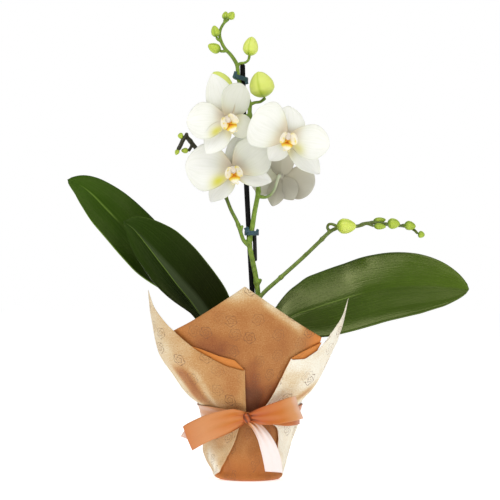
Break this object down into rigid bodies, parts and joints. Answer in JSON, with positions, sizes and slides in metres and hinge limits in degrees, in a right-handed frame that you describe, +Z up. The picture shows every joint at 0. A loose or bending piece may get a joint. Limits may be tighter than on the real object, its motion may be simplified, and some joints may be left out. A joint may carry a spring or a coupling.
{
  "type": "potted orchid",
  "caption": "White moth orchid with arching flower spikes and strap leaves in a grower's pot, gift wrapped in a gathered sheet tied with a satin ribbon bow.",
  "frame": {"origin": "middle of the flat underside of the wrapped pot, on the surface that the plant stands on", "axes": "+Z up, +X to the right seen from the front, -Y towards the front, where the bow and the wrap's front panel are"},
  "size_m": [0.4346, 0.1744, 0.4994],
  "materials": {
    "wrap_sheet": "translucent tan wrapping paper, one side paler",
    "satin_ribbon": "orange satin, pinkish white on the reverse",
    "pot_plastic": "thermoformed, brown",
    "bark": "rough bark chips",
    "stem": "living green stem, satin",
    "leaf": "leathery living leaf, waxy gloss",
    "bud": "yellow-green bud, soft sheen",
    "petal": "white petal, velvety",
    "lip": "yellow lip, waxy",
    "stake_plastic": "near-black plastic-coated stake",
    "clip_plastic": "moulded, dark blue-green"
  },
  "bodies": {
    "root": {"pot": "pot_plastic", "bark": "bark", "crown": "stem", "spike_main": "stem", "spike_right": "stem", "stake_long": "stake_plastic", "stake_short": "stake_plastic", "clip_lower": "clip_plastic", "clip_upper": "clip_plastic", "wrap": "wrap_sheet", "ribbon": "satin_ribbon", "leaf_back_left": "leaf", "leaf_front_left": "leaf", "leaf_right": "leaf", "bud_top_1": "bud", "bud_top_2": "bud", "bud_left_upper": "bud", "bud_left_lower": "bud", "bud_right": "bud", "bud_large": "bud", "bud_behind": "bud", "bud_branch_1": "bud", "bud_branch_2": "bud", "bud_branch_3": "bud", "bud_right_1": "bud", "bud_right_2": "bud", "bud_right_3": "bud", "bud_right_4": "bud", "bud_right_5": "bud", "bud_right_6": "bud", "bloom_1": "petal", "bloom_2": "petal", "bloom_3": "petal", "bloom_4": "petal", "lip_1": "lip", "lip_2": "lip", "lip_3": "lip", "lip_4": "lip"}
  },
  "joints": []
}
